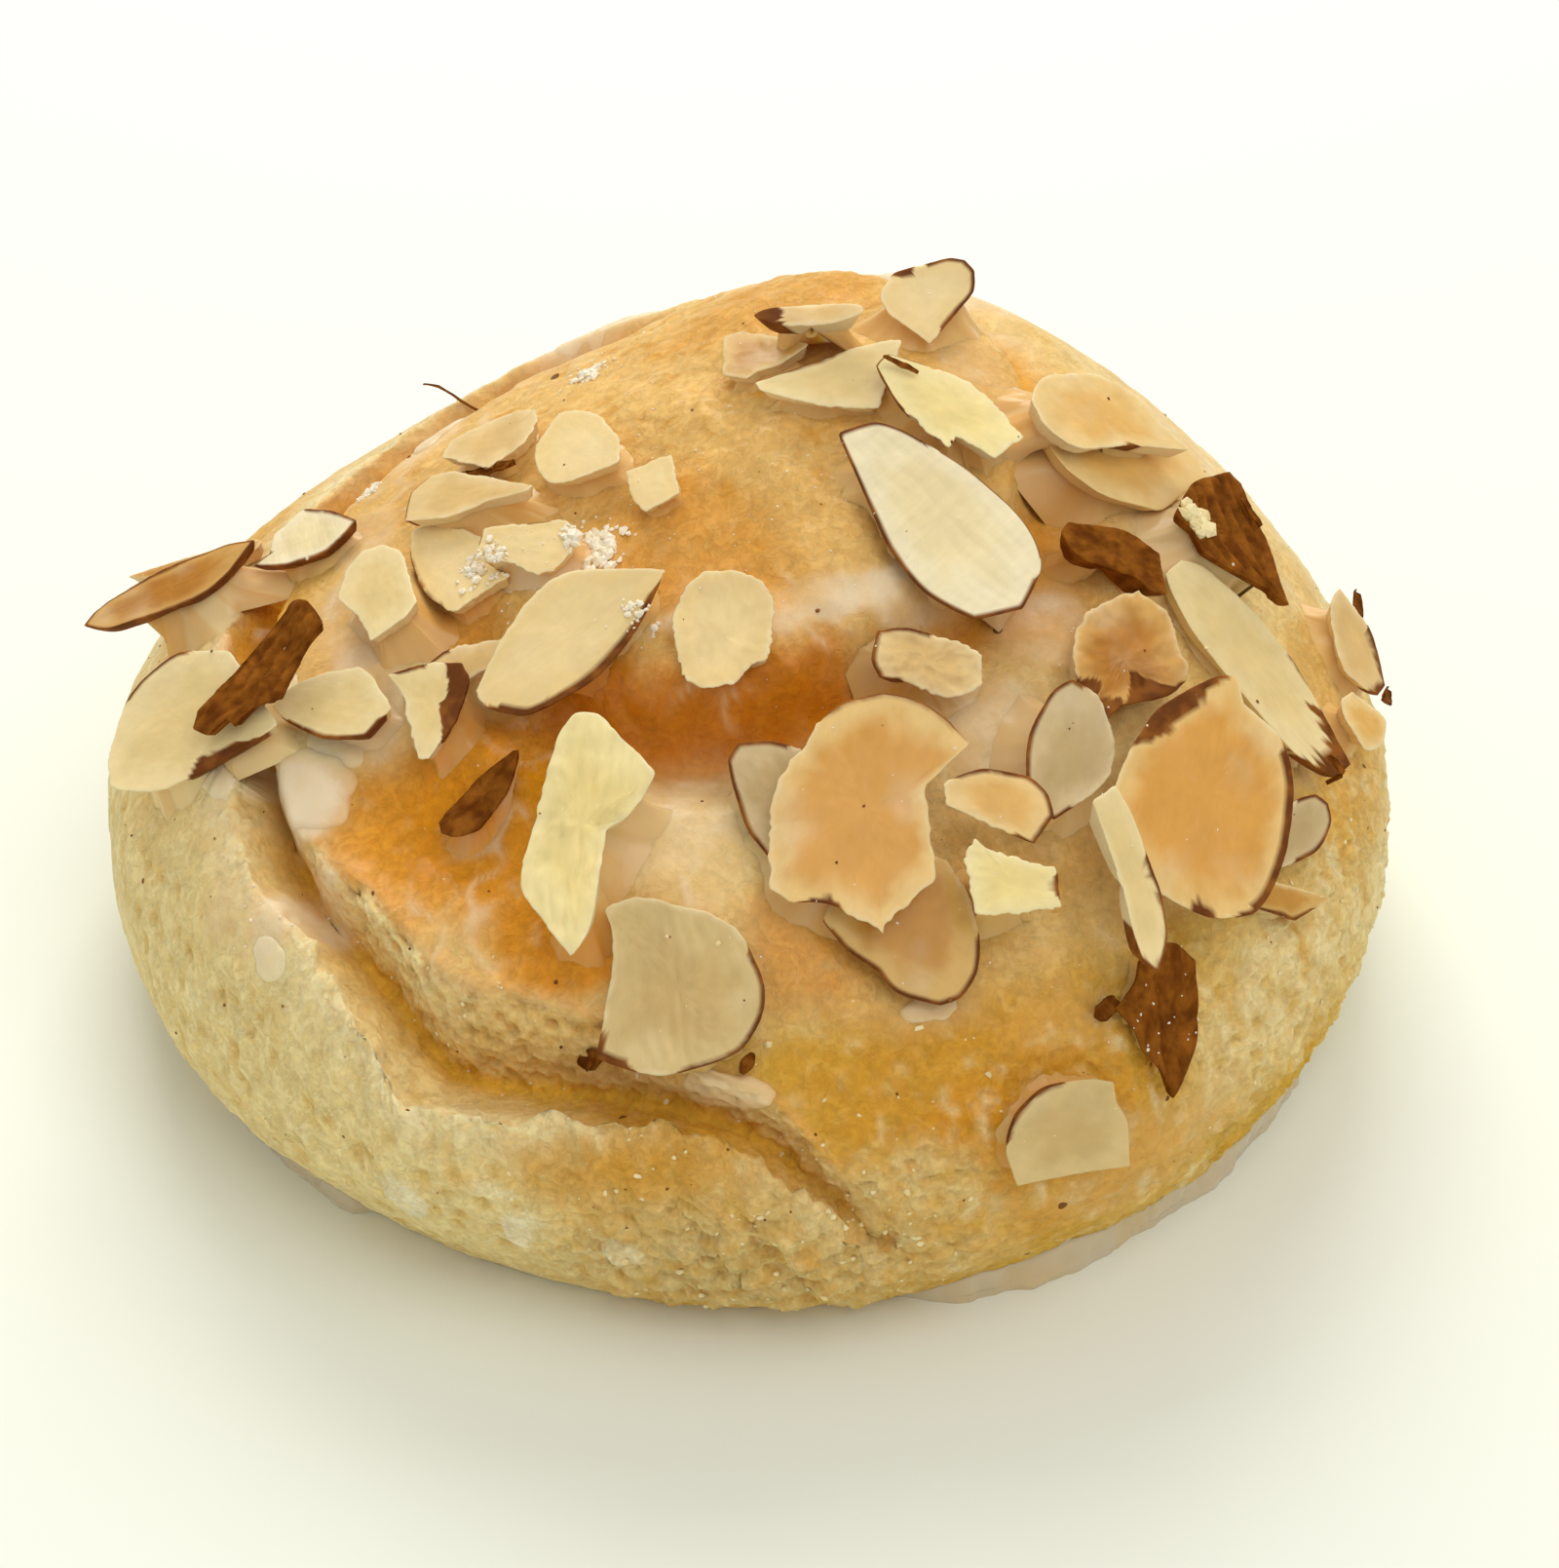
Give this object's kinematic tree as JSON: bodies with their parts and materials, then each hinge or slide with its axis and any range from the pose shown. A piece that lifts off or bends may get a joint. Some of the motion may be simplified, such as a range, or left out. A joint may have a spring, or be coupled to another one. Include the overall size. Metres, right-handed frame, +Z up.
{
  "type": "butterhorn danish",
  "caption": "Round coiled danish pastry with a raised, wound heart, sugar glaze and scattered almond slices, resting on its flat underside.",
  "frame": {"origin": "on the table, under the middle of the bun's round underside", "axes": "+Z up, -Y towards the front with the open end of the coil, +X to the right seen from the front"},
  "size_m": [0.1069, 0.1015, 0.0596],
  "materials": {
    "crust": "golden baked crust, paler and crumbly on the sides, satin where glazed",
    "almond": "cream cut almond flesh with a thin brown rim of skin",
    "almond_skin": "dry ridged brown almond skin",
    "glaze": "thin translucent set sugar glaze, white where thick"
  },
  "bodies": {
    "root": {"bun": "crust", "almond_crown_glazed": "almond", "almond_crown_sliver": "almond", "almond_crown_half": "almond", "almond_crown_sail": "almond", "almond_crown_notched": "almond", "almond_teardrop": "almond", "almond_east_flat_low": "almond", "almond_east_flat_top": "almond", "almond_east_skin_chunk": "almond", "almond_east_long": "almond", "almond_east_shield": "almond_skin", "almond_east_chunk": "almond", "almond_grey_slice": "almond", "almond_east_edge_mid": "almond", "almond_east_edge_low": "almond", "almond_east_oval": "almond", "almond_rim_stub": "almond", "almond_rim_low": "almond", "almond_crest_chunk": "almond", "almond_small_caramel": "almond", "almond_drip_slice": "almond", "almond_under_caramel": "almond", "almond_big_caramel": "almond", "almond_cube": "almond", "almond_edge_sliver": "almond", "almond_skin_pod": "almond_skin", "almond_low_half": "almond", "almond_front_slab": "almond", "almond_bright_chunk": "almond", "almond_round_flake": "almond", "almond_half_moon": "almond", "almond_n_flake": "almond", "almond_n_square": "almond", "almond_nw_yellow": "almond", "almond_nw_back": "almond", "almond_nw_front": "almond", "almond_nw_fragment": "almond", "almond_west_glazed": "almond", "almond_west_small": "almond", "almond_west_skin_low": "almond_skin", "almond_west_wedge": "almond", "almond_west_glazed_half": "almond", "almond_west_half": "almond", "almond_west_spike": "almond", "almond_west_blade": "almond", "almond_west_big": "almond", "almond_west_skin": "almond_skin", "almond_back_oval": "almond", "almond_back_half": "almond", "almond_back_long": "almond", "almond_back_chunk": "almond", "almond_back_moon": "almond", "almond_back_skin": "almond_skin", "almond_back_flake": "almond"}
  },
  "joints": []
}
